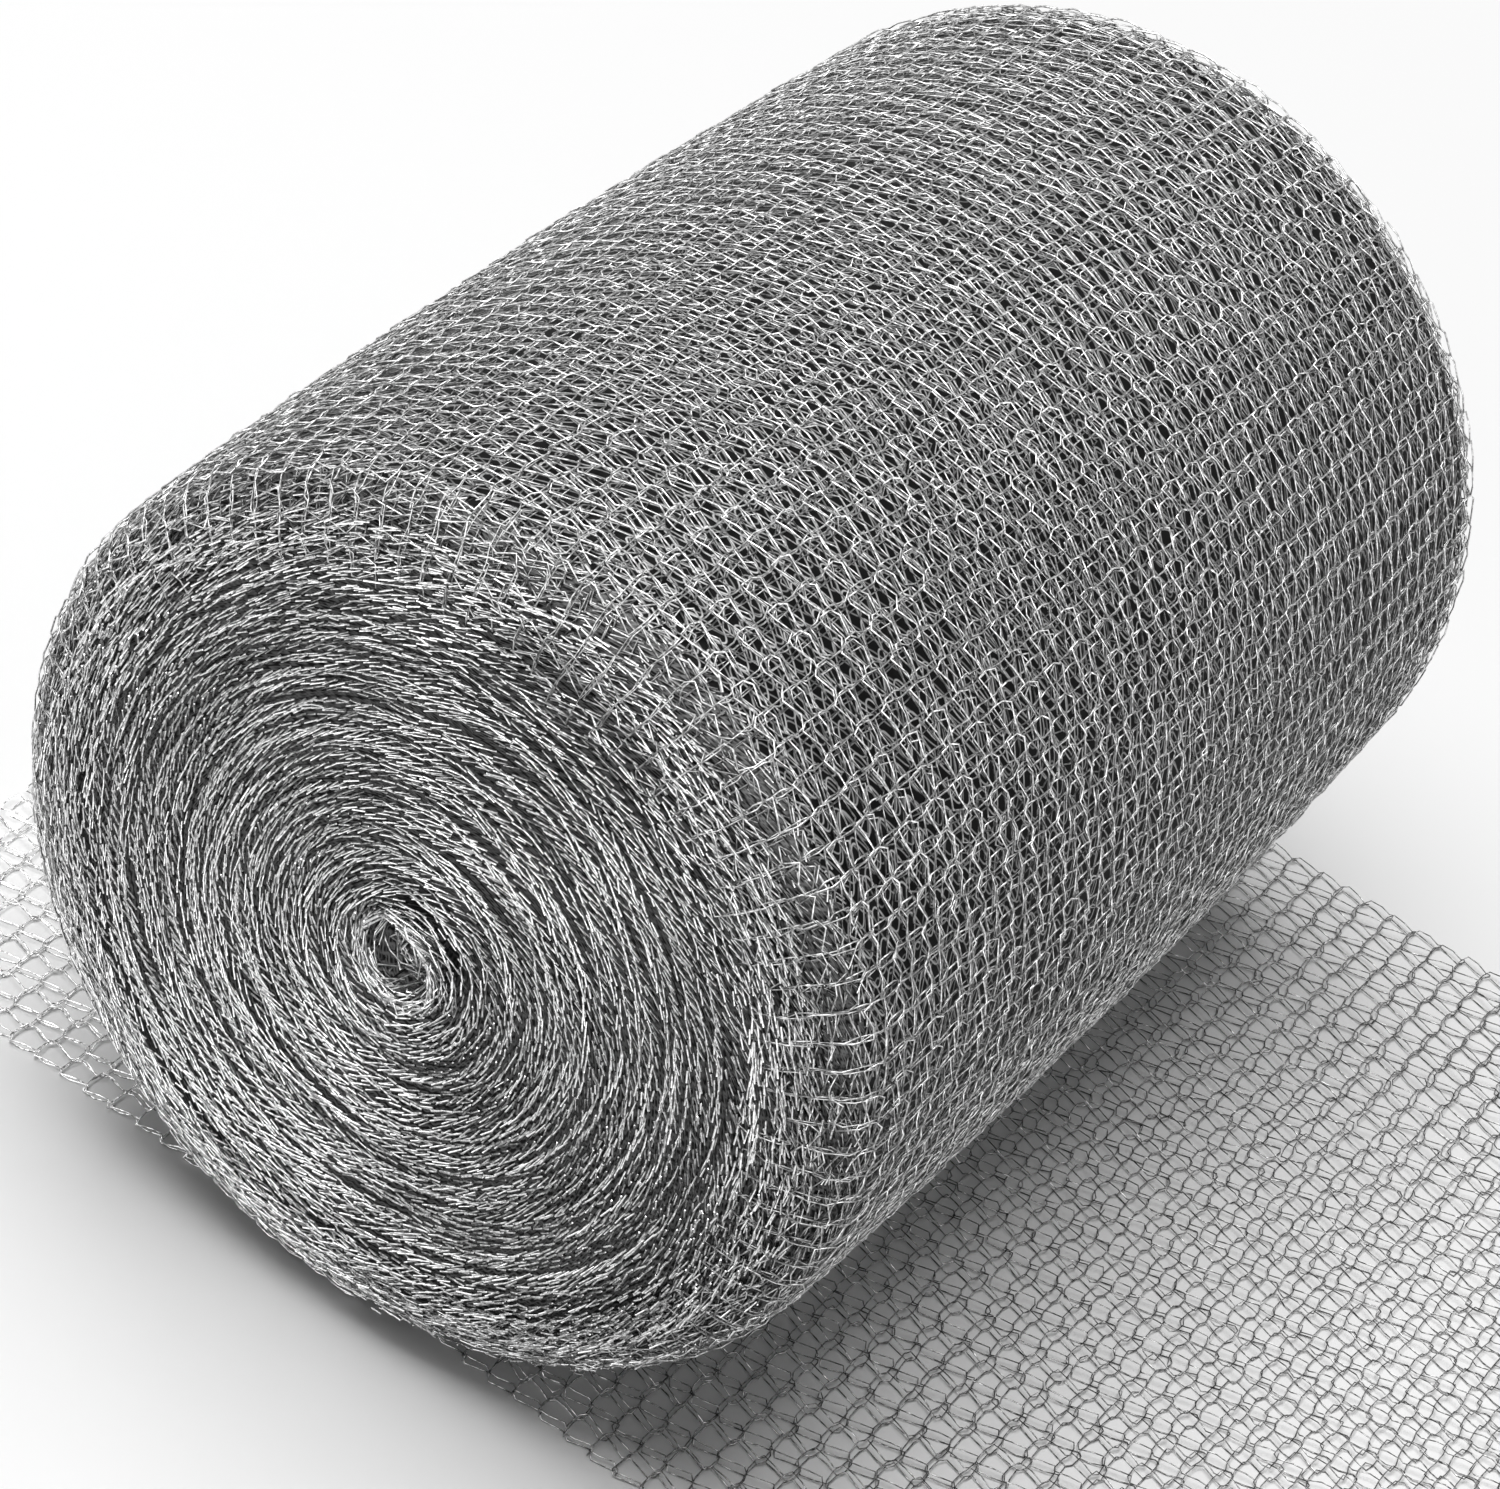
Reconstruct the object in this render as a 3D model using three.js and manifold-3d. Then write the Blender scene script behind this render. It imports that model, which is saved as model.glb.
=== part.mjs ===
// Roll of knitted wire mesh lying on its own free end, made from one continuous strip.
// Millimetres, +Z up. The roll's axis runs along Y and the free end runs out along X.
// The origin is on the floor under the roll's axis, halfway across the strip.
import * as THREE from 'three';
import { mergeVertices } from 'three/addons/utils/BufferGeometryUtils.js';
import Module from 'manifold-3d';

const wasm = await Module();
wasm.setup();

// The free end, flat on the floor on both sides of the roll
const tailWidth = 130; // the strip lying slack
const tailReach = 112; // from under the roll's axis to the longer side's cut edge
const tailThickness = 1.4; // doubled knit lying flat
const flareReach = 36; // the strip widens to its slack width over this length
const shortReach = 67; // from under the roll's axis to the shorter side's cut edge
const shortWidth = 124; // the strip there and under the roll

// The roll
const rollLength = 127; // the strip drawn a little narrower by the winding
const rollRadius = 45.5; // where the side meets the rounded rims
const sideBelly = 1.05; // extra radius halfway along the side
const flatSpotDepth = 0.45; // how far the rims' radius is pressed flat on the floor
const rimRadial = 14; // rounding of a rim, measured across the end
const rimAxial = 6.6; // rounding of a rim, measured along the axis
const endDome = 0.9; // rise of an end's middle above its rim
const turnSlip = -5; // the turns have slipped this far along the axis

// Turns seen on the ends, as one spiral ridge
const turnPitch = 4.5;
const turnRidge = 1.1;
const coreRadius = 4.5; // loose innermost turns
const coreDepth = 2;

// Knit seen on the side, as staggered ridges
const knitRidge = 0.9;
const knitRowPitch = 6.4; // along the axis

// Gaps in the free end, staggered as the loops are
const gapLength = 10.8; // along the strip
const gapWidth = 9.4; // across the strip
const barWidth = 2.4; // between neighbouring gaps
const hemWidth = 3; // plain edge around the gaps
const rollClearance = 3; // plain strip between the roll and the first gaps

// Fineness of the mesh
const aroundCount = 44; // an even number, so that the knit ridges meet
const samplesPerTurn = 3;

// Floor block that trims the flat spot
const trimDepth = 4;

const rollAxisHeight = rollRadius - flatSpotDepth;
const halfLength = rollLength / 2;
const sideHalf = halfLength - rimAxial; // half the side's length between the rims

// Outline of an end from the axis to the side, in the lathe's plane. towards is -1 for the near end.
function endOutline(towards) {
  const face = rollRadius - rimRadial;
  const middle = towards * (halfLength + endDome);
  const outline = new THREE.Path();
  outline.moveTo(0, middle);
  outline.quadraticCurveTo(face / 2, middle, face, towards * halfLength);
  outline.absellipse(face, towards * sideHalf, rimRadial, rimAxial, (towards * Math.PI) / 2, 0, towards > 0);
  return outline;
}

function sideOutline() {
  const outline = new THREE.Path();
  outline.moveTo(rollRadius, -sideHalf);
  outline.quadraticCurveTo(rollRadius + 2 * sideBelly, 0, rollRadius, sideHalf);
  return outline;
}

// Depth of the spiral valley between turns, at a distance from the axis along the end's outline.
function turnDepth(distance, length, turned) {
  const phase = distance / turnPitch - turned;
  const wave = 0.5 - 0.5 * Math.cos(2 * Math.PI * phase);
  const nearCore = THREE.MathUtils.smoothstep(distance, 0, coreRadius);
  const nearSide = 1 - THREE.MathUtils.smoothstep(distance, length - turnPitch, length);
  const core = 0.5 + 0.5 * Math.cos(Math.PI * Math.min(distance / coreRadius, 1));
  return turnRidge * wave * nearCore * nearSide + coreDepth * core;
}

// Rows of the lathe from the near end's middle to the far end's, each with its own depth around the roll.
function endRows(towards) {
  const outline = endOutline(towards);
  const length = outline.getLength();
  const count = Math.round((length / turnPitch) * samplesPerTurn);
  return outline.getSpacedPoints(count).map((point, index) => {
    const share = index / count;
    const tangent = outline.getTangentAt(share);
    const inward = new THREE.Vector2(towards * tangent.y, -towards * tangent.x);
    return { point, inward, depthAt: (column) => turnDepth(share * length, length, column / aroundCount) };
  });
}

function sideRows() {
  const outline = sideOutline();
  const count = 2 * Math.round(outline.getLength() / knitRowPitch / 2);
  const inward = new THREE.Vector2(-1, 0);
  const rows = outline.getSpacedPoints(count).map((point, index) => {
    return { point, inward, depthAt: (column) => knitRidge * ((index + column) % 2) };
  });
  return rows.slice(1, -1); // the rims hold the first and last rows
}

function rollGeometry() {
  const rows = [...endRows(-1), ...sideRows(), ...endRows(1).reverse()];
  const geometry = new THREE.LatheGeometry(rows.map((row) => row.point), aroundCount);
  const position = geometry.attributes.position;
  for (let column = 0; column <= aroundCount; column += 1) {
    const turn = column % aroundCount; // the last column closes onto the first
    const angle = (turn / aroundCount) * 2 * Math.PI;
    rows.forEach((row, index) => {
      const depth = row.depthAt(turn);
      const radius = Math.max(row.point.x + row.inward.x * depth, 0);
      const along = row.point.y + row.inward.y * depth;
      const vertex = column * rows.length + index;
      position.setXYZ(vertex, radius * Math.sin(angle), along, radius * Math.cos(angle));
    });
  }
  geometry.translate(0, turnSlip, rollAxisHeight);
  return geometry;
}

// Edge of the free end on one side, at a distance from under the roll's axis.
function tailEdge(side, x) {
  const slack = THREE.MathUtils.clamp(x / flareReach, 0, 1);
  return (side * THREE.MathUtils.lerp(shortWidth, tailWidth, slack)) / 2;
}

// Corners of one gap, a hexagon with its points along the strip, as the loops open.
function gapCorners(x, y) {
  const directions = [[1, 0], [0.5, 1], [-0.5, 1], [-1, 0], [-0.5, -1], [0.5, -1]];
  return directions.map(([along, across]) => {
    return new THREE.Vector2(x + (along * gapLength) / 2, y + (across * gapWidth) / 2);
  });
}

function insideHem(corner) {
  return corner.y > tailEdge(-1, corner.x) + hemWidth && corner.y < tailEdge(1, corner.x) - hemWidth;
}

// Places of the columns of gaps on one stretch of the strip, centred on it.
function gapColumns(first, last) {
  const pitch = 0.75 * gapLength + barWidth;
  const count = Math.floor((last - first - gapLength) / pitch) + 1;
  const middle = (first + last) / 2;
  return Array.from({ length: count }, (_, column) => middle + (column - (count - 1) / 2) * pitch);
}

function tailShape() {
  const shape = new THREE.Shape();
  const bends = [-shortReach, 0, flareReach, tailReach];
  const nearEdge = bends.map((x) => new THREE.Vector2(x, tailEdge(-1, x)));
  const farEdge = bends.map((x) => new THREE.Vector2(x, tailEdge(1, x)));
  shape.setFromPoints([...nearEdge, ...farEdge.reverse()]);
  shape.closePath();

  const bellyRadius = rollRadius + sideBelly;
  const contact = Math.sqrt(bellyRadius ** 2 - (rollAxisHeight - tailThickness) ** 2);
  const clear = contact + rollClearance;
  const columns = [...gapColumns(hemWidth - shortReach, -clear), ...gapColumns(clear, tailReach - hemWidth)];
  const pitch = gapWidth + barWidth;
  const rows = Math.floor((tailWidth - 2 * hemWidth - gapWidth) / pitch) + 1;
  columns.forEach((x, column) => {
    const inColumn = rows - (column % 2); // every other column is staggered by half a pitch
    for (let row = 0; row < inColumn; row += 1) {
      const corners = gapCorners(x, (row - (inColumn - 1) / 2) * pitch);
      if (corners.every(insideHem)) shape.holes.push(new THREE.Path(corners));
    }
  });
  return shape;
}

function tailGeometry() {
  const depth = tailThickness + trimDepth / 2;
  const geometry = new THREE.ExtrudeGeometry(tailShape(), { depth, bevelEnabled: false });
  return geometry.translate(0, 0, -trimDepth / 2);
}

function floorGeometry() {
  const reach = 2 * (tailReach + shortReach + rollRadius);
  return new THREE.BoxGeometry(reach, 2 * tailWidth, trimDepth).translate(0, 0, -trimDepth / 2);
}

function solidOf(geometry) {
  geometry.deleteAttribute('normal');
  geometry.deleteAttribute('uv');
  const merged = mergeVertices(geometry);
  const index = merged.index.array;
  const triangles = [];
  for (let start = 0; start < index.length; start += 3) {
    const [a, b, c] = index.slice(start, start + 3);
    if (a !== b && b !== c && c !== a) triangles.push(a, b, c); // a pole's flat triangles are dropped
  }
  const vertProperties = new Float32Array(merged.attributes.position.array);
  const triVerts = new Uint32Array(triangles);
  return new wasm.Manifold(new wasm.Mesh({ numProp: 3, vertProperties, triVerts }));
}

function geometryOf(solid) {
  const mesh = solid.getMesh();
  const geometry = new THREE.BufferGeometry();
  geometry.setAttribute('position', new THREE.BufferAttribute(mesh.vertProperties, 3));
  geometry.setIndex(new THREE.BufferAttribute(mesh.triVerts, 1));
  geometry.computeVertexNormals();
  return geometry;
}

const steelWire = new THREE.MeshStandardMaterial({ color: 0x8c8e90, roughness: 0.38, metalness: 0.9 });

const strip = solidOf(rollGeometry()).add(solidOf(tailGeometry())).subtract(solidOf(floorGeometry()));
const roll = new THREE.Mesh(geometryOf(strip), steelWire);
roll.name = 'knitted_mesh_roll';

const part = new THREE.Group();
part.add(roll);

export default part;
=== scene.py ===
import math

import bmesh
import bpy
from mathutils import Matrix, Vector


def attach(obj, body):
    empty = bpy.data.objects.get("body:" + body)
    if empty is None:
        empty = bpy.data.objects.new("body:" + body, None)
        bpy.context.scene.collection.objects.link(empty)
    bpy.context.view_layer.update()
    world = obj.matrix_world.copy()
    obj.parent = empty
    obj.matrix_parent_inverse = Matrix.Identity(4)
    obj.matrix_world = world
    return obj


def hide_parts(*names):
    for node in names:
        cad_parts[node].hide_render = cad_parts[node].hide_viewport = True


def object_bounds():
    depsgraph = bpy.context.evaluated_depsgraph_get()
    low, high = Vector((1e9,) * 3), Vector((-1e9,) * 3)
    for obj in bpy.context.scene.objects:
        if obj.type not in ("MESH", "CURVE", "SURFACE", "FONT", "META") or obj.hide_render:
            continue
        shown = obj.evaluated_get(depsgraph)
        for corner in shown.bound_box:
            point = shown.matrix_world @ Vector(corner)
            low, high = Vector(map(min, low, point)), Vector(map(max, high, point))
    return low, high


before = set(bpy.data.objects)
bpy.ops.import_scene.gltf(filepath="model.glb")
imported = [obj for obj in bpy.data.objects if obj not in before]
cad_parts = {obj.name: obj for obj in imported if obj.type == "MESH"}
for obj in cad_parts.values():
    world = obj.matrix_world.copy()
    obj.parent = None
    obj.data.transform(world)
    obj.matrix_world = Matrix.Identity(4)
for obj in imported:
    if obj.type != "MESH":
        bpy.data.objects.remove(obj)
cadLow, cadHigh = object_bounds()
stripNode = "knitted_mesh_roll"
mm = 0.001
print("frame loaded:", sorted(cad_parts))

scene = bpy.context.scene
scene.view_settings.view_transform = "Standard"

# The main sizes in mm, worked out from the frame's box
belly = 1.05  # the roll's extra radius halfway along
flatSpot = 0.45  # pressed flat where it rests
rollRadius = (cadHigh.z / mm - belly + flatSpot) / 2  # where the side meets the rims
axisHeight = rollRadius - flatSpot
tailReach = cadHigh.x / mm
shortReach = -cadLow.x / mm
tailHalf = cadHigh.y / mm
endDome = 0.9  # rise of an end's middle above its rim

roll = {
    "radius": rollRadius,
    "axisHeight": axisHeight,
    "sideHalf": 56.9,  # half the side's length between the rims
    "rimRadial": 14.0,  # rounding of a rim across the end
    "rimAxial": 6.6,  # and along the axis
    "slip": -5.0,  # the turns have slipped along the axis
    "lapSide": 3.9,  # where the laps over the rims reach furthest in, turned this far from the floor
}

knit = {
    "coursePitch": 3.05,
    "walePitch": 4.38,
    "loopHalf": 1.7,  # half a loop's height, along the strip
    "loopPinch": 0.88,  # squares the loop's corners
    "loopTaper": 0.24,  # draws the feet of a loop together
    "loopDepth": -0.17,  # the legs of a loop lie this far outside its head
    "wireRadius": 0.098,  # a three-sided tube as wide as 0.17 mm wire
    "layerGap": 0.4,  # between the two layers of the flattened tube
    "climb": 1.0,  # courses gained in each round of the tube
}
wireSides = 3
courseSpread = 5.7  # sets neighbouring courses well apart in the noise


# Numbers worked out by math nodes, so that a rule reads as a formula
class Field:
    def __init__(self, tree, socket):
        self.tree = tree
        self.socket = socket


def plug(tree, value, socket):
    if isinstance(value, Field):
        tree.links.new(value.socket, socket)
    elif isinstance(value, bpy.types.NodeSocket):
        tree.links.new(value, socket)
    else:
        socket.default_value = value


def mathNode(operation):
    def work(self, *others):
        node = self.tree.nodes.new("ShaderNodeMath")
        node.operation = operation
        for socket, value in zip(node.inputs, (self, *others)):
            plug(self.tree, value, socket)
        return Field(self.tree, node.outputs[0])
    return work


fieldOperations = {
    "__add__": "ADD", "__radd__": "ADD", "__sub__": "SUBTRACT",
    "__mul__": "MULTIPLY", "__rmul__": "MULTIPLY", "__truediv__": "DIVIDE",
    "sin": "SINE", "cos": "COSINE", "arc": "ARCTAN2", "sqrt": "SQRT",
    "abs": "ABSOLUTE", "sign": "SIGN", "floor": "FLOOR", "atLeast": "MAXIMUM", "atMost": "MINIMUM",
}
for method, operation in fieldOperations.items():
    setattr(Field, method, mathNode(operation))


def addNode(tree, kind, inputs=None):
    node = tree.nodes.new(kind)
    for name, value in (inputs or {}).items():
        plug(tree, value, node.inputs[name])
    return node


def vector(tree, x, y, z):
    node = tree.nodes.new("ShaderNodeCombineXYZ")
    for socket, value in zip(node.inputs, (x, y, z)):
        plug(tree, value, socket)
    return Field(tree, node.outputs[0])


def parts(tree, value):
    node = tree.nodes.new("ShaderNodeSeparateXYZ")
    plug(tree, value, node.inputs[0])
    return [Field(tree, socket) for socket in node.outputs]


# Three noises about zero. What is added to a seed below keeps one use apart from the others.
def wobble(tree, x, y, seed, scale):
    place = vector(tree, x, y, seed)
    noise = addNode(tree, "ShaderNodeTexNoise", {"Vector": place, "Scale": scale, "Detail": 1.0})
    return [part - 0.5 for part in parts(tree, noise.outputs["Color"])]


def startTree(name, sizes):
    tree = bpy.data.node_groups.new(name, "GeometryNodeTree")
    tree.interface.new_socket("Geometry", in_out="INPUT", socket_type="NodeSocketGeometry")
    tree.interface.new_socket("Geometry", in_out="OUTPUT", socket_type="NodeSocketGeometry")
    for key, value in sizes.items():
        kind = "NodeSocketInt" if isinstance(value, int) else "NodeSocketFloat"
        tree.interface.new_socket(key, in_out="INPUT", socket_type=kind)
    group = tree.nodes.new("NodeGroupInput")
    return tree, {key: Field(tree, group.outputs[key]) for key in sizes}


# One wire to each course of the knit, laid flat: x runs along the strip and y around the flattened tube
def layCourses(tree, size):
    rows = addNode(tree, "GeometryNodeMeshLine", {
        "Count": size["courses"],
        "Start Location": vector(tree, size["firstCourse"] * size["coursePitch"], 0, 0),
        "Offset": vector(tree, size["coursePitch"], 0, 0),
    })
    wire = addNode(tree, "GeometryNodeCurvePrimitiveLine", {
        "Start": vector(tree, 0, size["wireFrom"], 0),
        "End": vector(tree, 0, size["wireTo"], 0),
    })
    steps = (size["wireTo"] - size["wireFrom"]) / size["walePitch"] * size["stepsPerLoop"]
    points = addNode(tree, "GeometryNodeResampleCurve", {"Curve": wire.outputs[0], "Count": steps + 1})
    laid = addNode(tree, "GeometryNodeInstanceOnPoints", {
        "Points": rows.outputs[0], "Instance": points.outputs[0],
    })
    return addNode(tree, "GeometryNodeRealizeInstances", {"Geometry": laid.outputs[0]}).outputs[0]


# Where a point of the wire is laid, before it is looped
def laidPlace(tree):
    x, y, _ = parts(tree, tree.nodes.new("GeometryNodeInputPosition").outputs[0])
    return x, y


# A shift of its own for each course, the same all along its wire
def courseShift(tree, seed):
    x, _ = laidPlace(tree)
    return wobble(tree, x * courseSpread, 0, seed, 1.0)


# A point of the wire looped on the flattened tube: along the strip, across it, and its lift off the middle
def knitLoops(tree, size):
    x, y = laidPlace(tree)
    drift = wobble(tree, x, y, size["seed"], size["driftScale"])
    shake = wobble(tree, x, y, size["seed"] + 7.3, size["shakeScale"])
    phase = (y + x * size["skew"]) * (2 * math.pi) / size["walePitch"] + size["phaseStart"]
    helix = size["coursePitch"] * size["climb"] * y / (size["foldAt"] * 4.0)
    height = size["loopHalf"] * (phase.cos() * 9 - (phase * 3).cos()) / 8  # a wave with flattened tops
    along = x + helix - height + drift[0] * size["drift"] + shake[0] * size["shake"]
    width = size["loopPinch"] * (phase * 2).sin() - size["loopTaper"] * phase.sin()
    around = y + width + drift[1] * size["drift"] + shake[1] * size["shake"]
    rise = size["loopDepth"] * (phase * 2).cos() + shake[2] * size["shake"]
    # The tube's two layers meet in a round fold at each edge of the strip
    toFold = size["foldAt"] - around.abs()
    half = size["layerGap"] * 0.5
    root = (toFold * toFold + half * half).sqrt()
    across = around.sign() * (size["foldAt"] - root + rise * half / root)
    lift = (half + rise) * toFold / root
    return along, across, lift


# Puts the wires in place as tubes, and keeps with each point the painted shade that the material darkens it
# by, with a random tone on the ends' legs: on the roll mostly the point's depth in the pack, in mm, and on
# the free end how far towards its long side it lies
def finishWire(tree, size, curves, place, paintedShadeAndTone, material):
    x, y, z = place
    spot = vector(tree, x * mm, y * mm, z.atLeast(size["wireRadius"]) * mm)
    marked = addNode(tree, "GeometryNodeStoreNamedAttribute", {
        "Geometry": curves, "Name": "paintedShadeAndTone", "Value": paintedShadeAndTone,
    })
    placed = addNode(tree, "GeometryNodeSetPosition", {"Geometry": marked.outputs[0], "Position": spot})
    profile = addNode(tree, "GeometryNodeCurvePrimitiveCircle", {
        "Resolution": wireSides, "Radius": size["wireRadius"] * mm,
    })
    tube = addNode(tree, "GeometryNodeCurveToMesh", {
        "Curve": placed.outputs[0], "Profile Curve": profile.outputs[0], "Fill Caps": True,
    })
    smooth = addNode(tree, "GeometryNodeSetShadeSmooth", {
        "Geometry": tube.outputs[0], "Shade Smooth": True,
    })
    whole = addNode(tree, "GeometryNodeRealizeInstances", {"Geometry": smooth.outputs[0]})
    finished = addNode(tree, "GeometryNodeSetMaterial", {
        "Geometry": whole.outputs[0], "Material": material,
    })
    result = tree.nodes.new("NodeGroupOutput")
    tree.links.new(finished.outputs[0], result.inputs[0])


def plainPiece(name, tree, sizes):
    holder = bpy.data.objects.new(name, bpy.data.meshes.new(name + "Holder"))
    scene.collection.objects.link(holder)
    modifier = holder.modifiers.new("knit", "NODES")
    modifier.node_group = tree
    for item in tree.interface.items_tree:
        if item.in_out == "INPUT" and item.name in sizes:
            modifier[item.identifier] = sizes[item.name]
    bpy.context.view_layer.update()
    evaluated = holder.evaluated_get(bpy.context.evaluated_depsgraph_get())
    mesh = bpy.data.meshes.new_from_object(evaluated)
    holder.modifiers.remove(modifier)
    holder.data = mesh
    mesh.name = name
    return dress(holder)


def dress(piece):
    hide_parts(stripNode)
    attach(piece, "root")
    triangles = sum(len(face.vertices) - 2 for face in piece.data.polygons)
    print(piece.name, triangles, "triangles")
    return piece


# Bright drawn wire: steel whose tone and polish change a little along it. Painted glints and dark specks
# are strewn along it, and painted shade darkens it deeper in the pack, where the layers above shade it
wireToneAndPaintedLight = {
    "patch": 600.0, "patchSpan": (0.3, 0.7), "dark": 0.82, "light": 1.0, "roughFrom": 0.24, "roughTo": 0.42,
    "glints": 2600.0, "glintSpan": (0.35, 0.65), "glintFrom": 0.5, "glintTo": 1.3,
    "shadeRate": 0.62, "shadeFloor": 0.05,
}
# The free end's wire: the same steel drawn darker as painted shade, with stronger painted glints and more
# polish
tailToneAndPaintedLight = {
    **wireToneAndPaintedLight, "dark": 0.6, "roughFrom": 0.12, "roughTo": 0.25, "glintFrom": 0.3, "glintTo": 1.9,
}


def spread(tree, value, span, low, high):
    return addNode(tree, "ShaderNodeMapRange", {
        "Value": value, "From Min": span[0], "From Max": span[1], "To Min": low, "To Max": high,
    }).outputs["Result"]


def steelWire(name, toneAndLight):
    material = bpy.data.materials.new(name)
    material.use_nodes = True
    tree = material.node_tree
    shader = tree.nodes["Principled BSDF"]
    shader.inputs["Metallic"].default_value = 1.0
    place = tree.nodes.new("ShaderNodeTexCoord").outputs["Object"]
    patch = addNode(tree, "ShaderNodeTexNoise", {"Vector": place, "Scale": toneAndLight["patch"], "Detail": 1.0})
    glints = addNode(tree, "ShaderNodeTexNoise", {"Vector": place, "Scale": toneAndLight["glints"], "Detail": 1.0})
    tone = spread(tree, patch.outputs["Fac"], toneAndLight["patchSpan"], toneAndLight["dark"], toneAndLight["light"])
    polish = spread(tree, patch.outputs["Fac"], toneAndLight["patchSpan"], toneAndLight["roughTo"], toneAndLight["roughFrom"])
    # Painted glints and dark specks: a fine noise brightens the wire past its tone in spots and darkens it
    # in others
    glint = spread(tree, glints.outputs["Fac"], toneAndLight["glintSpan"], toneAndLight["glintFrom"], toneAndLight["glintTo"])
    # Painted shade: the wire is drawn darker by the amount kept with each point
    paintedShadeAndTone = tree.nodes.new("ShaderNodeAttribute")
    paintedShadeAndTone.attribute_name = "paintedShadeAndTone"
    shadeFactor = (Field(tree, paintedShadeAndTone.outputs["Fac"]) * -toneAndLight["shadeRate"] + 1.0).atLeast(toneAndLight["shadeFloor"])
    shade = shadeFactor * tone * glint
    plug(tree, shade.atMost(1.0), shader.inputs["Base Color"])
    plug(tree, polish, shader.inputs["Roughness"])
    return material


wireSteel = steelWire("steel_wire", wireToneAndPaintedLight)
tailSteel = steelWire("tail_wire", tailToneAndPaintedLight)


# The free end, lying flat under the roll and to both sides of it
lastLoop = knit["loopHalf"] + knit["coursePitch"] / 2  # what the last course reaches past its own line
tailWales = 30  # whole loops, so the lower layer's loops lie under the upper one's
tail = {
    **knit,
    "courses": int((tailReach - lastLoop) / knit["coursePitch"]) + 1,
    "firstCourse": (lastLoop - tailReach) / knit["coursePitch"], "stepsPerLoop": 10,
    "walePitch": 2 * tailHalf / tailWales, "wireRadius": 0.073,
    "seed": 1.0, "skew": 0.004, "phaseStart": 0.0,
    "drift": 0.9, "driftScale": 0.03, "shake": 1.2, "shakeScale": 0.5,
    "foldAt": tailHalf, "wireFrom": -2 * tailHalf, "wireTo": 2 * tailHalf,
    "shortHalf": 62.0,  # half the strip's width on the short side and under the roll
    "flareReach": 36.0,  # it widens over this length
    "longSideShade": 1.25,  # painted shade: the long side's wire is drawn this much darker, for the roll's shadow on it and the dark roll it reflects
}


def tailTree():
    tree, size = startTree("tailKnit", tail)
    curves = layCourses(tree, size)
    along, across, lift = knitLoops(tree, size)
    x = along * -1.0
    slack = (x / size["flareReach"]).atLeast(0.0).atMost(1.0)
    y = across * (size["shortHalf"] + (size["foldAt"] - size["shortHalf"]) * slack) / size["foldAt"]
    z = lift + size["layerGap"] * 0.5 - size["loopDepth"] + size["wireRadius"]
    # Painted shade: the wire is drawn darker towards the long side, which lies in the roll's shadow and
    # mirrors its dark side
    longSideShading = (x / (size["flareReach"] * 2.0) + 0.5).atLeast(0.0).atMost(1.0) * size["longSideShade"]
    finishWire(tree, size, curves, (x, y, z), longSideShading, tailSteel)
    return tree


tailKnit = tailTree()
plainPiece("long_side_knit", tailKnit, tail)
shortFirst = tail["firstCourse"] + tail["courses"]
shortCourses = int((shortReach - lastLoop) / knit["coursePitch"] - shortFirst) + 1
shortSide = {**tail, "courses": shortCourses, "firstCourse": shortFirst}
plainPiece("short_side_knit", tailKnit, shortSide)


# The two outermost turns, whose edges lap over the rims
def lapped(sizes, over):
    fold = roll["sideHalf"] + over
    return {**sizes, "foldAt": fold, "wireFrom": -2 * fold, "wireTo": 2 * fold}


outerLap = 10.0
secondLap = 7.5
turn = {
    **knit, **roll,
    "courses": 0, "firstCourse": 0.0, "stepsPerLoop": 8,
    "seed": 2.0, "skew": 0.025, "phaseStart": 0.0,
    "drift": 2.4, "driftScale": 0.022, "shake": 0.8, "shakeScale": 0.45,
    "belly": belly, "turnPitch": 0.8,
    "wound": 46.0,  # radius that makes a length of strip an angle
    "wander": 4.0, "wanderScale": 0.02,  # shifts the strip along the axis as it winds
    "ragged": 1.4,  # unevenness of the laps from course to course
    "rimEase": 0.241,  # keeps a lap's length round the oval of the rim
    "lapLean": 0.3,  # how much further in the laps reach on their own side of the roll
    # painted shade: wires are drawn darker for each mm deeper in the pack, and a little for each mm they
    # lap over a rim
    "shading": 0.55, "lapShading": 0.03,
}
turn = lapped(turn, outerLap)
secondTurn = lapped({**turn, "stepsPerLoop": 6, "seed": 3.0}, secondLap)


# A point of the roll: turned clockwise from the floor as seen from the near end
def onRoll(size, turned, radius):
    return turned.sin() * radius * -1.0, turned.cos() * radius * -1.0 + size["axisHeight"]


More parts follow.
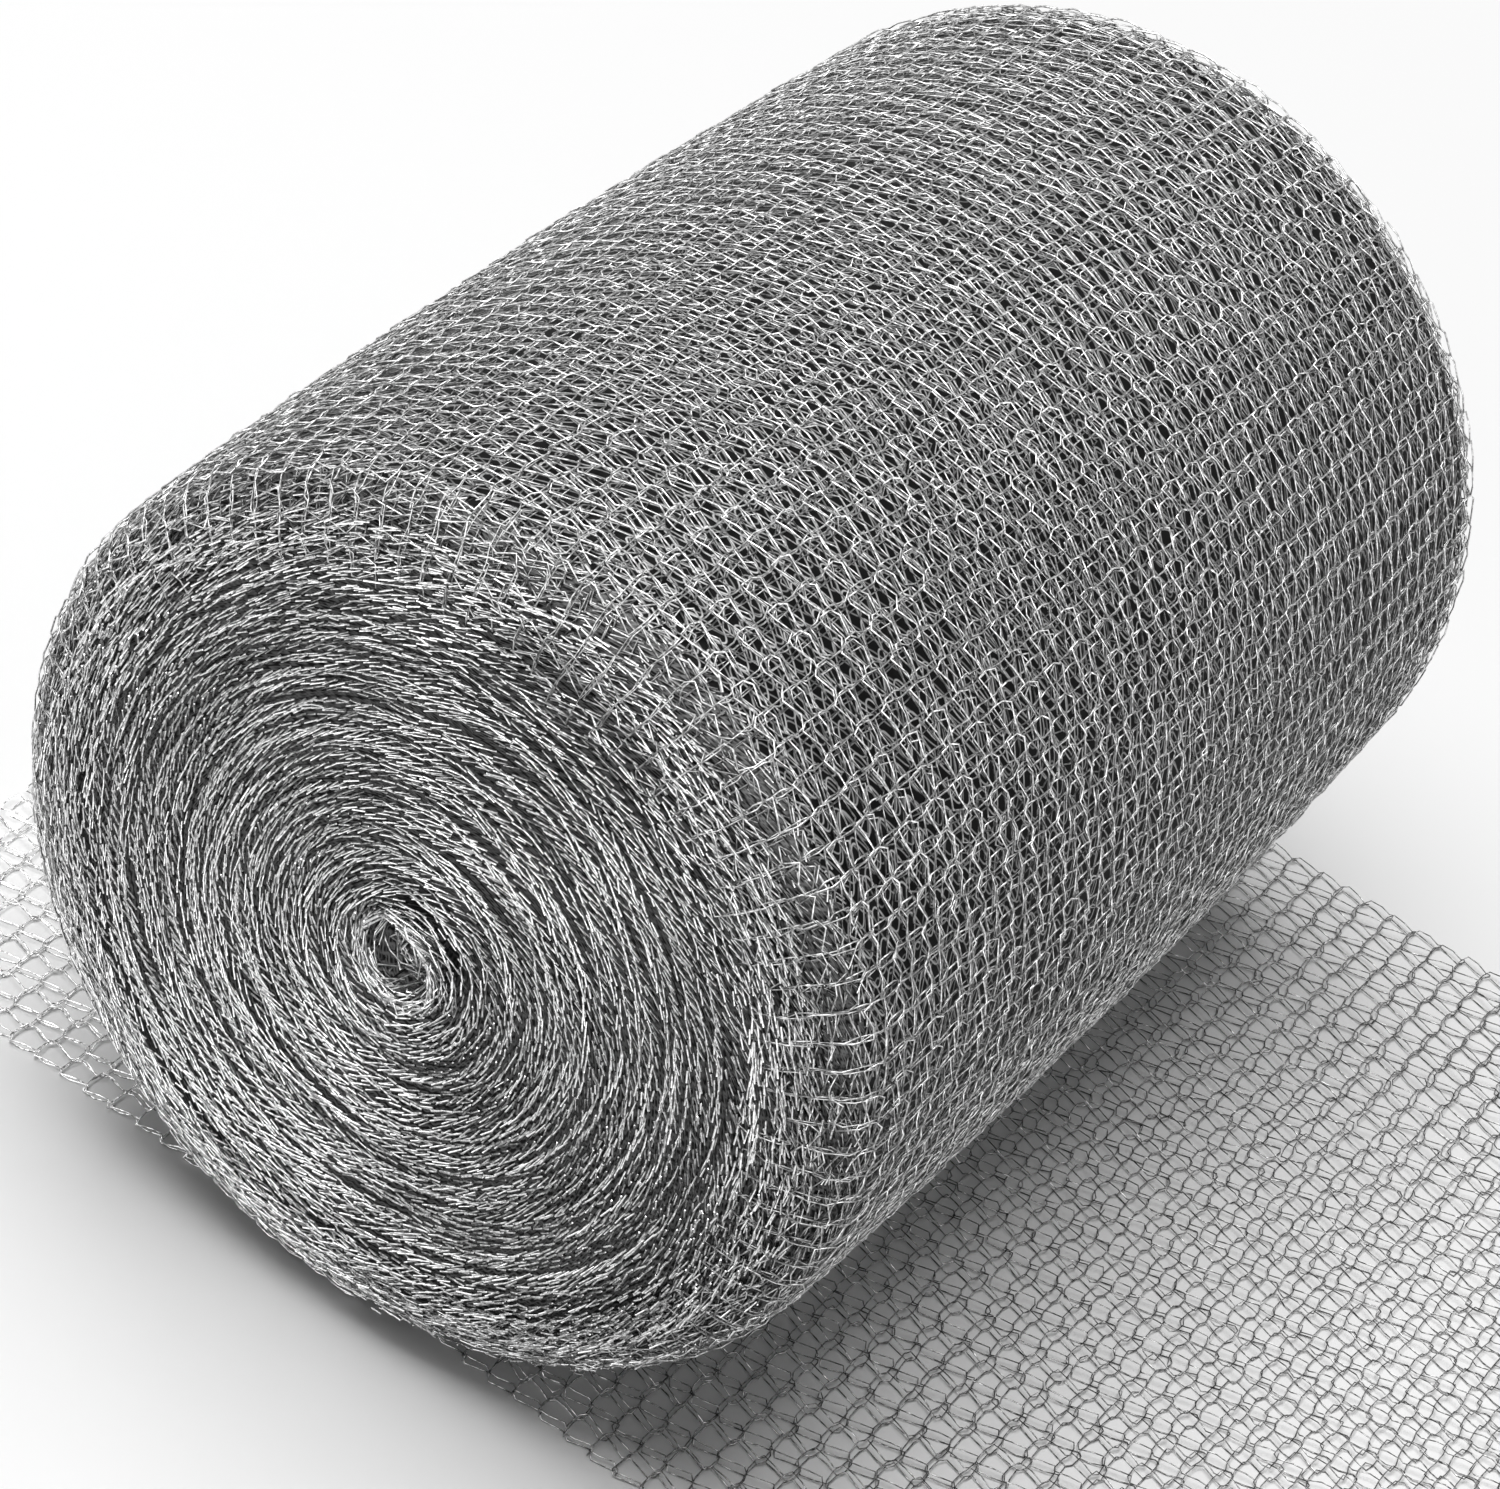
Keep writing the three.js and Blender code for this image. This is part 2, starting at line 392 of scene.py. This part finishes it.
def turnTree():
    tree, size = startTree("outerTurn", turn)
    curves = layCourses(tree, size)
    along, across, lift = knitLoops(tree, size)
    across = across + wobble(tree, along, 0, size["seed"], size["wanderScale"])[0] * size["wander"]
    turned = along / size["wound"]
    inside = size["layerGap"] * 0.5 - size["loopDepth"] + size["wireRadius"]
    lift = lift - (size["turnPitch"] * turned / (2 * math.pi) + inside)
    # What lies past the side is bent round the rim
    flat = across.abs().atMost(size["sideHalf"])
    ragged = courseShift(tree, size["seed"] + 4.0)[0] * size["ragged"] + 1.0
    leaning = (turned - size["lapSide"]).cos() * size["lapLean"] + 1.0
    over = (across.abs() - size["sideHalf"]).atLeast(0.0) * ragged * leaning
    bend = over / (over * size["rimEase"] + size["rimAxial"])
    outward = size["rimAxial"] * bend.cos()
    endward = size["rimRadial"] * bend.sin()
    steep = (outward * outward + endward * endward).sqrt()
    share = flat / size["sideHalf"]
    swell = size["belly"] * (share * share * -1.0 + 1.0)
    bentIn = size["rimRadial"] * (bend.cos() * -1.0 + 1.0)
    radius = size["radius"] + swell - bentIn + lift * outward / steep
    y = across.sign() * (flat + size["rimAxial"] * bend.sin() + lift * endward / steep) + size["slip"]
    x, z = onRoll(size, turned, radius)
    # Painted shade: deeper turns and wires further over the rim are drawn darker
    paintedShadeAndTone = over * size["lapShading"] - lift * size["shading"]
    finishWire(tree, size, curves, (x, y, z), paintedShadeAndTone, wireSteel)
    return tree


outerTurn = turnTree()
halfTurns = [
    ("outer_turn_rising", turn, 48), ("outer_turn_falling", turn, 47),
    ("second_turn_rising", secondTurn, 47), ("second_turn_falling", secondTurn, 46),
]
coursesLaid = 0
for name, sizes, courses in halfTurns:
    plainPiece(name, outerTurn, {**sizes, "firstCourse": float(coursesLaid), "courses": courses})
    coursesLaid += courses

# The folded edges of the turns: legs of loops wound down from the rim to the core on each end
edges = {
    **knit, **roll,
    "courses": 0, "firstCourse": 0.0, "stepsPerLoop": 4, "coursePitch": 1.2, "loopHalf": 0.68,
    "seed": 5.0, "skew": 0.0, "phaseStart": 0.0, "layerGap": 0.15, "loopDepth": -0.05, "wireRadius": 0.105,
    "drift": 5.0, "driftScale": 0.04, "shake": 0.6, "shakeScale": 0.6,
    "foldAt": 64.0, "reach": 0.65, "wireFrom": 0.0, "wireTo": 0.0,  # a leg shows this far round its fold
    "edgeStart": 41.0, "edgeStop": 0.9, "turnPitch": 0.33, "innermost": 0.2,
    "uneven": 3.0, "unevenSpin": 0.9, "unevenRing": 3.7,  # some turns stand out and others are sunk
    "bunching": 0.8, "bunchSpin": 0.35, "bunchRing": 0.37, "rimCalm": 0.8,  # turns crowd together or part
    "jitter": 1.2, "scatter": 9.0, "rimMargin": 0.1, "tilt": 0.9, "lean": 0.2,
    # painted shade: a lightening of all legs, a random tone for each leg, and darkening of sunk turns
    "paintedShadeLift": 0.2, "toneJitter": 3.0, "unevenShading": 0.5,
    "dome": endDome, "lapDepth": 1.6,  # sunk under the laps where those reach furthest in
    "coreRadius": 6.0, "coreStretch": 0.6, "coreLean": -0.75, "crumple": 7.0, "crumpleScale": 0.25,
    "hollowLength": 4.6, "hollowWidth": 2.6, "hollowDepth": 3.0, "hollowSteep": 2.5,
    "dentX": 8.0, "dentZ": 29.0, "dentRadius": 13.5, "dentDepth": 0.8, "dentShading": 0.5,
}
coreTangle = {
    **edges, "edgeStart": 4.4, "edgeStop": 0.4, "turnPitch": 0.4, "coursePitch": 1.9, "loopHalf": 1.5,
    "reach": 1.0, "stepsPerLoop": 12, "tilt": 2.2, "shake": 1.6, "paintedShadeLift": 0.0, "hollowDepth": 2.2,
}
rimSunk = 0.7  # the rim's edges lie this far under the laps
# The rim's legs lie under the laps and are drawn darker there as painted shade
rimEdges = {
    **edges, "edgeStart": 44.2, "edgeStop": 37.0, "turnPitch": 0.3, "scatter": 2.5, "tilt": 2.4,
    "shake": 1.2, "wireRadius": 0.09, "paintedShadeLift": -0.35, "radius": rollRadius - rimSunk,
    "rimRadial": roll["rimRadial"] - rimSunk, "rimAxial": roll["rimAxial"] - rimSunk,
}


# Fills in the number of courses, and cuts them to what shows on one end
def woundEdges(sizes, side):
    length = math.pi * (sizes["edgeStart"] ** 2 - sizes["edgeStop"] ** 2) / sizes["turnPitch"]
    fold = side * sizes["foldAt"]
    legAtFold = math.pi / 2 - 2 * math.pi * fold / sizes["walePitch"]
    cut = {"wireFrom": fold - sizes["reach"], "wireTo": fold + sizes["reach"], "phaseStart": legAtFold}
    return {**sizes, **cut, "courses": int(length / sizes["coursePitch"])}


def edgeTree():
    tree, size = startTree("turnEdges", edges)
    curves = layCourses(tree, size)
    along, across, lift = knitLoops(tree, size)
    # Wound on a spiral
    wound = size["edgeStart"] * size["edgeStart"] - size["turnPitch"] * along / math.pi
    radius = wound.atLeast(size["innermost"]).sqrt()
    turned = (size["edgeStart"] - radius) * (2 * math.pi) / size["turnPitch"]
    ring = (turned / (2 * math.pi)).floor()
    core = (radius * -1.0 / size["coreRadius"] + 1.0).atLeast(0.0)
    face = size["radius"] - size["rimRadial"]
    rimward = ((radius - face) / size["rimRadial"]).atLeast(0.0).atMost(1.0)
    # Set astray across the end, each leg by itself and whole turns together
    shift = courseShift(tree, size["seed"] + 9.0)
    astray = shift[0] * size["jitter"] * (rimward * size["scatter"] + 1.0)
    laidX, _ = laidPlace(tree)
    slant = (shift[1] * size["tilt"] + size["lean"]) * (along - laidX)
    bunchAt = turned * size["bunchSpin"]
    bunch = wobble(tree, bunchAt, ring * size["bunchRing"], size["seed"] + 2.0, 1.0)[0] * size["bunching"]
    bunch = bunch * (core * -1.0 + 1.0) * (rimward * -1.0 * size["rimCalm"] + 1.0)
    spot = (radius + astray + slant + bunch).atMost(size["radius"] - size["rimMargin"])
    x, z = onRoll(size, turned, spot + lift)
    # The core is drawn out one way, with a crumpled hollow in it
    leanX = size["coreLean"].cos()
    leanZ = size["coreLean"].sin()
    longWay = x * leanX + (z - size["axisHeight"]) * leanZ
    shortWay = (z - size["axisHeight"]) * leanX - x * leanZ
    stretch = longWay * size["coreStretch"] * core
    longWay = (longWay + stretch) / size["hollowLength"]
    shortWay = shortWay / size["hollowWidth"]
    hollow = (longWay * longWay * -1.0 - shortWay * shortWay + 1.0).atLeast(0.0)
    messy = wobble(tree, along, 0, size["seed"] + 11.0, size["crumpleScale"])
    x = x + stretch * leanX + messy[0] * size["crumple"] * hollow
    z = z + stretch * leanZ + messy[1] * size["crumple"] * hollow
    # A shallow dent
    dentX = (x - size["dentX"]) / size["dentRadius"]
    dentZ = (z - size["axisHeight"] - size["dentZ"]) / size["dentRadius"]
    dent = (dentX * dentX * -1.0 - dentZ * dentZ + 1.0).atLeast(0.0)
    # Place along the axis, on the end's dome or the rim
    onRim = ((spot - face) / size["rimRadial"]).atLeast(0.0).atMost(1.0)
    rimEdge = (onRim * onRim * -1.0 + 1.0).sqrt() * size["rimAxial"] + size["sideHalf"]
    tucked = (turned - size["lapSide"]).cos().atLeast(0.0) * rimward * size["lapDepth"]
    share = (radius / face).atMost(1.0)
    domed = size["dome"] * (share * share * -1.0 + 1.0)
    sunk = size["hollowDepth"] * (hollow * size["hollowSteep"]).atMost(1.0)
    edge = rimEdge - tucked + domed - sunk - dent * size["dentDepth"]
    unevenAt = turned * size["unevenSpin"]
    uneven = wobble(tree, unevenAt, ring * size["unevenRing"], size["seed"], 1.0)[0] * size["uneven"]
    slipping = uneven + shift[2] * size["jitter"]
    inset = size["foldAt"] - across.abs()
    y = across.sign() * (edge - inset + slipping + messy[2] * size["crumple"] * hollow) + size["slip"]
    # Painted shade: legs set in from their fold, sunk turns and the dent are drawn darker; all are lifted a
    # little, and each leg gets a random tone
    paintedShadeAndTone = inset - slipping * size["unevenShading"] + shift[1] * size["toneJitter"] - size["paintedShadeLift"]
    paintedShadeAndTone = paintedShadeAndTone + dent * size["dentShading"]
    finishWire(tree, size, curves, (x, y, z), paintedShadeAndTone, wireSteel)
    return tree


turnEdges = edgeTree()
plainPiece("near_end_turns", turnEdges, woundEdges(edges, -1))
plainPiece("near_rim_turns", turnEdges, woundEdges(rimEdges, -1))
plainPiece("near_core_turns", turnEdges, woundEdges(coreTangle, -1))
# The far end: a dent elsewhere, shallower and with less painted shade
farSide = {"seed": 6.0, "dentX": -12.0, "dentZ": -20.0, "dentDepth": 0.6, "dentShading": 0.3}
plainPiece("far_end_turns", turnEdges, woundEdges({**edges, **farSide, "turnPitch": 0.5}, 1))
plainPiece("far_rim_turns", turnEdges, woundEdges({**rimEdges, **farSide, "turnPitch": 0.4}, 1))
plainPiece("far_core_turns", turnEdges, woundEdges({**coreTangle, **farSide}, 1))

# The inner turns underneath, a closed body with its own fine hatch of wires
packed = {
    "sideDepth": 2.1, "endDepth": 2.4, "coreDepth": 5.0, "coreRadius": 6.0,
    "around": 96, "rimSteps": 10, "faceSteps": 14, "floorGap": 1.5,
    "endFacing": 0.5,  # faces turned further than this towards an end get the end's wires
}


def packedOutline():
    inner = []
    face = roll["radius"] - roll["rimRadial"]
    for step in range(packed["faceSteps"]):
        share = step / packed["faceSteps"]
        sunk = packed["endDepth"] + packed["coreDepth"] * max(0, 1 - face * share / packed["coreRadius"])
        domed = roll["sideHalf"] + roll["rimAxial"] + endDome * (1 - share ** 2)
        inner.append((face * share, domed - sunk))
    for step in range(packed["rimSteps"] + 1):
        bend = math.pi / 2 * (1 - step / packed["rimSteps"])
        radius = face + (roll["rimRadial"] - packed["sideDepth"]) * math.cos(bend)
        inner.append((radius, roll["sideHalf"] + (roll["rimAxial"] - packed["endDepth"]) * math.sin(bend)))
    return [(radius, -y) for radius, y in inner] + [(radius, y) for radius, y in reversed(inner)]


def packedMesh():
    build = bmesh.new()
    rings = []
    for radius, y in packedOutline():
        ring = []
        count = packed["around"] if radius > 0 else 1
        for step in range(count):
            turned = 2 * math.pi * step / count
            x = -radius * math.sin(turned)
            z = max(axisHeight - radius * math.cos(turned), packed["floorGap"])
            ring.append(build.verts.new((x * mm, (y + roll["slip"]) * mm, z * mm)))
        rings.append(ring)
    for low, high in zip(rings, rings[1:]):
        for step in range(packed["around"]):
            after = (step + 1) % packed["around"]
            corners = [low[step % len(low)], low[after % len(low)]]
            corners += [high[after % len(high)], high[step % len(high)]]
            build.faces.new(list(dict.fromkeys(corners)))  # a pole's corner counts once
    bmesh.ops.recalc_face_normals(build, faces=build.faces)
    mesh = bpy.data.meshes.new("packed_turns")
    build.to_mesh(mesh)
    build.free()
    mesh.shade_smooth()
    return mesh


deep = {
    # painted shade: each layer down is drawn this much darker, and the ground between the wires is near
    # black
    "layers": 3, "fade": 0.6, "gap": 0.012, "halfWire": 0.13, "roughness": 0.5, "contrast": 1.5,
    "sway": 1.3, "swayEvery": 0.11, "swayStep": 2.3, "climbEvery": 0.09, "climbStep": 1.7,
    "waleStep": 1.1, "courseStep": 0.37,  # how far each layer is shifted from the one above
}
# painted shade: the ends' deep wires are drawn far dimmer than the side's
sideWave = {
    "pitch": knit["coursePitch"], "width": knit["walePitch"], "height": 1.8, "climb": 1.2, "bright": 0.5,
}
endWave = {"pitch": 0.6, "width": edges["coursePitch"], "height": 0.15, "climb": 0.3, "bright": 0.13}


# How far a point is turned round the axis from the floor
def turnedBy(x, z):
    return (x * -1.0).arc(z * -1.0)


def onSide(x, y, z):
    return turnedBy(x, z) * roll["radius"], y


def onEnd(x, y, z):
    radius = (x * x + z * z).sqrt()
    return radius, turnedBy(x, z) * radius


# Wires of the deeper layers, drawn on the packed body: each layer is a row of waves, each layer down drawn
# darker as painted shade, on a near-black ground that paints the shade deep in the pack
def deepWires(name, place, wave):
    material = bpy.data.materials.new(name)
    material.use_nodes = True
    tree = material.node_tree
    shader = tree.nodes["Principled BSDF"]
    shader.inputs["Metallic"].default_value = 1.0
    shader.inputs["Roughness"].default_value = deep["roughness"]
    coordinate = tree.nodes.new("ShaderNodeTexCoord").outputs["Object"]
    x, y, z = [part / mm for part in parts(tree, coordinate)]
    along, across = place(x, y, z - axisHeight)
    tone = None
    for layer in range(deep["layers"]):
        sway = (along * deep["swayEvery"] + deep["swayStep"] * layer).sin() * deep["sway"]
        climb = (across * deep["climbEvery"] + deep["climbStep"] * layer).sin() * wave["climb"]
        phase = (across + sway + deep["waleStep"] * layer) * (2 * math.pi / wave["width"])
        raised = along + climb + deep["courseStep"] * wave["pitch"] * layer + phase.cos() * wave["height"]
        course = raised / wave["pitch"]
        offset = (course - course.floor() - 0.5).abs() * wave["pitch"]
        slope = phase.sin() * (wave["height"] * 2 * math.pi / wave["width"])
        distance = offset / (slope * slope + 1.0).sqrt()
        ridge = (distance * (-1.0 / deep["halfWire"]) + 1.0).atLeast(0.0)
        shown = ridge * (deep["fade"] ** layer)
        tone = shown if tone is None else tone.atLeast(shown)
    shade = tone * (deep["contrast"] * wave["bright"]) + deep["gap"]
    plug(tree, shade.atMost(wave["bright"]), shader.inputs["Base Color"])
    return material


packedTurns = bpy.data.objects.new("packed_turns", packedMesh())
scene.collection.objects.link(packedTurns)
packedTurns.data.materials.append(deepWires("deep_side_wires", onSide, sideWave))
packedTurns.data.materials.append(deepWires("deep_end_wires", onEnd, endWave))
for face in packedTurns.data.polygons:
    face.material_index = 1 if abs(face.normal.y) > packed["endFacing"] else 0
dress(packedTurns)

# Floor, light and camera
studio = {
    "floorSize": 6.0, "floorTone": 0.92, "floorRough": 0.7,
    "fadeFrom": 0.16, "fadeTo": 0.42,  # the floor turns white between these distances
    "worldLight": 0.2,
    "frontGlow": 1.5, "glowRise": 0.4, "glowFront": 0.92,  # a soft reflector in front and above
}
seenRays = ["Is Camera Ray", "Is Glossy Ray", "Is Transmission Ray"]


def pickRays(tree, rays):
    paths = tree.nodes.new("ShaderNodeLightPath")
    picked = None
    for name in rays:
        ray = Field(tree, paths.outputs[name])
        picked = ray if picked is None else picked.atLeast(ray)
    return picked


def paleFloor():
    material = bpy.data.materials.new("pale_floor")
    material.use_nodes = True
    tree = material.node_tree
    shader = tree.nodes["Principled BSDF"]
    shader.inputs["Base Color"].default_value = (studio["floorTone"],) * 3 + (1.0,)
    shader.inputs["Roughness"].default_value = studio["floorRough"]
    shader.inputs["Specular IOR Level"].default_value = 0.0
    x, y, _ = parts(tree, tree.nodes.new("ShaderNodeTexCoord").outputs["Object"])
    distance = (x * x + y * y).sqrt()
    fade = (distance - studio["fadeFrom"]) / (studio["fadeTo"] - studio["fadeFrom"])
    fade = fade.atLeast(0.0).atMost(1.0) * pickRays(tree, seenRays)
    white = tree.nodes.new("ShaderNodeEmission")
    blend = tree.nodes.new("ShaderNodeMixShader")
    plug(tree, fade, blend.inputs[0])
    tree.links.new(shader.outputs[0], blend.inputs[1])
    tree.links.new(white.outputs[0], blend.inputs[2])
    tree.links.new(blend.outputs[0], tree.nodes["Material Output"].inputs["Surface"])
    return material


half = studio["floorSize"] / 2
corners = [(-half, -half, 0), (half, -half, 0), (half, half, 0), (-half, half, 0)]
floorMesh = bpy.data.meshes.new("floor")
floorMesh.from_pydata(corners, [], [(0, 1, 2, 3)])
floor = bpy.data.objects.new("floor", floorMesh)
floor.data.materials.append(paleFloor())
scene.collection.objects.link(floor)

world = bpy.data.worlds.new("studio")
world.use_nodes = True
world.cycles.sampling_method = "NONE"  # a nearly even sky needs no aimed rays
scene.world = world
sky = world.node_tree
seen = pickRays(sky, seenRays)
facing = parts(sky, sky.nodes.new("ShaderNodeTexCoord").outputs["Generated"])
front = (facing[2] * studio["glowRise"] - facing[1] * studio["glowFront"]).atLeast(0.0)
front = front * studio["frontGlow"] * pickRays(sky, ["Is Glossy Ray"])
strength = seen * (1.0 - studio["worldLight"]) + studio["worldLight"] + front
plug(sky, strength, sky.nodes["Background"].inputs["Strength"])
sky.nodes["Background"].inputs["Color"].default_value = (1.0, 1.0, 1.0, 1.0)

keyLight = {"place": (-0.18, -0.04, 1.2), "target": (0, 0, 0.04), "size": 1.0, "power": 15.7}


def areaLight(name, sizes):
    lamp = bpy.data.lights.new(name, "AREA")
    lamp.size = sizes["size"]
    lamp.energy = sizes["power"]
    holder = bpy.data.objects.new(name, lamp)
    holder.location = sizes["place"]
    aim = Vector(sizes["target"]) - Vector(sizes["place"])
    holder.rotation_euler = aim.to_track_quat("-Z", "Y").to_euler()
    scene.collection.objects.link(holder)


areaLight("key_light", keyLight)

view = {
    "azimuth": 22.122, "elevation": 38.245, "roll": 17.5, "distance": 0.471418, "nearest": 0.01,
    "target": (0.002822, -0.013997, 0.040089), "lens": 119.456, "sensor": 36.0,
}


def photoCamera():
    data = bpy.data.cameras.new("camera")
    data.sensor_width = view["sensor"]
    data.lens = view["lens"]
    data.clip_start = view["nearest"]
    camera = bpy.data.objects.new("camera", data)
    swing = Matrix.Rotation(math.radians(view["azimuth"]), 4, "Z")
    dip = Matrix.Rotation(math.radians(90 - view["elevation"]), 4, "X")
    tip = Matrix.Rotation(math.radians(view["roll"]), 4, "Z")
    aim = swing @ dip @ tip
    place = Vector(view["target"]) + aim @ Vector((0, 0, view["distance"]))
    camera.matrix_world = Matrix.Translation(place) @ aim
    scene.collection.objects.link(camera)
    scene.camera = camera


photoCamera()
print("floor, light and camera placed")
